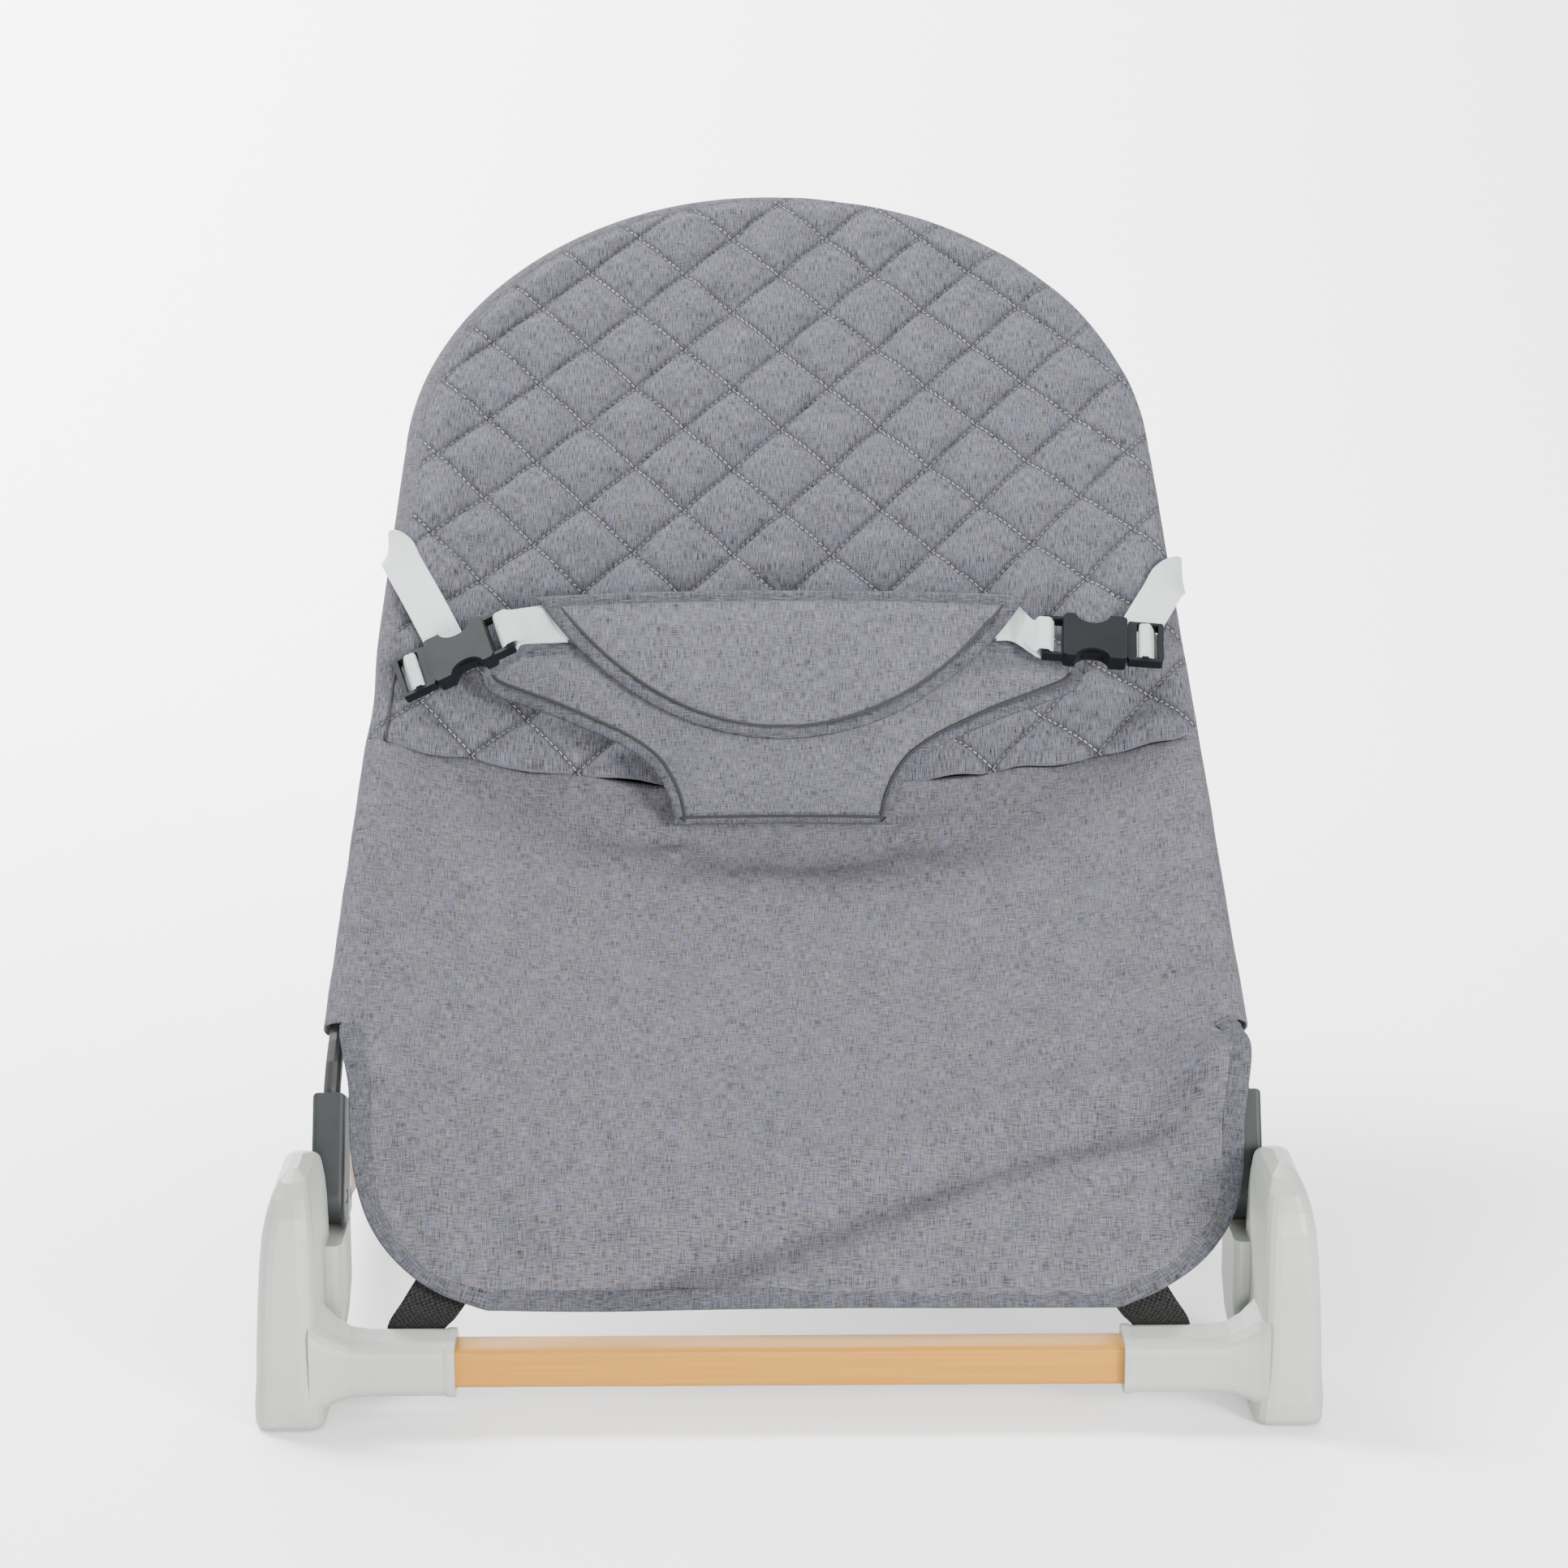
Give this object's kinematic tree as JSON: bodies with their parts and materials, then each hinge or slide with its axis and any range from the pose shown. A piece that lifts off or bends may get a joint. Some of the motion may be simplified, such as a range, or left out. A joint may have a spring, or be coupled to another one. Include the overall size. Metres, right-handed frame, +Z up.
{
  "type": "bouncer seat",
  "caption": "Reclining baby bouncer seat: quilted fabric sling on a bent rod loop, waist harness with side-release buckles, square-bar base with side brackets.",
  "frame": {"origin": "centre of the bounding box's footprint, on the floor the four rubber pads stand on", "axes": "+X across the seat to the right as seen from the foot end, +Y from the foot end to the head end, +Z up"},
  "size_m": [0.47, 0.5498, 0.4934],
  "materials": {
    "bracket": "satin light grey moulding",
    "boot": "satin dark grey",
    "wood": "wood-look foil, satin",
    "steel": "dark powder coat",
    "pad_rubber": "grey rubber",
    "fastener": "zinc plated",
    "cover": "heather grey-blue woven, quilted",
    "mesh": "black woven backing",
    "strap": "smooth off-white webbing",
    "buckle": "dark grey acetal",
    "tether": "black webbing"
  },
  "bodies": {
    "base": {"front_bar": "wood", "rear_bar": "wood", "left_bracket": "bracket", "left_rear_foot": "bracket", "left_side_rail": "wood", "left_front_foot_pad": "pad_rubber", "left_rear_foot_pad": "pad_rubber", "left_pivot_pin": "fastener", "left_pivot_cap": "bracket", "left_front_bar_screw": "fastener", "left_rear_bar_screw": "fastener", "left_rail_front_screw": "fastener", "left_rail_rear_screw": "fastener", "left_tether_strap": "tether", "right_bracket": "bracket", "right_rear_foot": "bracket", "right_side_rail": "wood", "right_front_foot_pad": "pad_rubber", "right_rear_foot_pad": "pad_rubber", "right_pivot_pin": "fastener", "right_pivot_cap": "bracket", "right_front_bar_screw": "fastener", "right_rear_bar_screw": "fastener", "right_rail_front_screw": "fastener", "right_rail_rear_screw": "fastener", "right_tether_strap": "tether"},
    "boots": {"left_boot": "boot", "right_boot": "boot"},
    "seat": {"seat_loop": "steel", "quilted_panel": "cover", "plain_panel": "cover", "back_panel": "mesh", "harness_pad": "cover", "harness_flap": "cover", "left_buckle_socket": "buckle", "left_pad_strap": "strap", "left_side_strap": "strap", "right_buckle_socket": "buckle", "right_pad_strap": "strap", "right_side_strap": "strap"},
    "left_plug": {"left_buckle_plug": "buckle"},
    "left_upper_release_prong": {"left_upper_prong": "buckle"},
    "left_lower_release_prong": {"left_lower_prong": "buckle"},
    "right_plug": {"right_buckle_plug": "buckle"},
    "right_upper_release_prong": {"right_upper_prong": "buckle"},
    "right_lower_release_prong": {"right_lower_prong": "buckle"}
  },
  "joints": [
    {"name": "seat_recline", "type": "hinge", "parent": "base", "child": "boots", "pos_m": [0, -0.19891, 0.082], "axis": [-1, 0, 0], "range_deg": [0, 18], "deforming": ["left_tether_strap", "right_tether_strap"]},
    {"name": "seat_bounce", "type": "hinge", "parent": "boots", "child": "seat", "pos_m": [0, -0.19891, 0.082], "axis": [-1, 0, 0], "range_deg": [-3, 5], "stiffness_Nm_per_rad": 330, "springref_deg": -0.66, "deforming": ["left_tether_strap", "right_tether_strap"]},
    {"name": "left_buckle_release", "type": "slide", "parent": "seat", "child": "left_plug", "axis": [-0.9042, -0.0144, -0.4269], "range_m": [0, 0.03], "deforming": ["left_side_strap"]},
    {"name": "left_upper_prong_press", "type": "slide", "parent": "left_plug", "child": "left_upper_release_prong", "axis": [-0.2924, 0.7494, 0.594], "range_m": [0, 0.002], "stiffness_N_per_m": 1500},
    {"name": "left_lower_prong_press", "type": "slide", "parent": "left_plug", "child": "left_lower_release_prong", "axis": [0.2924, -0.7494, -0.594], "range_m": [0, 0.002], "stiffness_N_per_m": 1500},
    {"name": "right_buckle_release", "type": "slide", "parent": "seat", "child": "right_plug", "axis": [0.997, -0.033, -0.0706], "range_m": [0, 0.03], "deforming": ["right_side_strap"]},
    {"name": "right_upper_prong_press", "type": "slide", "parent": "right_plug", "child": "right_upper_release_prong", "axis": [-0.0698, -0.7818, -0.6196], "range_m": [0, 0.002], "stiffness_N_per_m": 1500},
    {"name": "right_lower_prong_press", "type": "slide", "parent": "right_plug", "child": "right_lower_release_prong", "axis": [0.0698, 0.7818, 0.6196], "range_m": [0, 0.002], "stiffness_N_per_m": 1500}
  ]
}
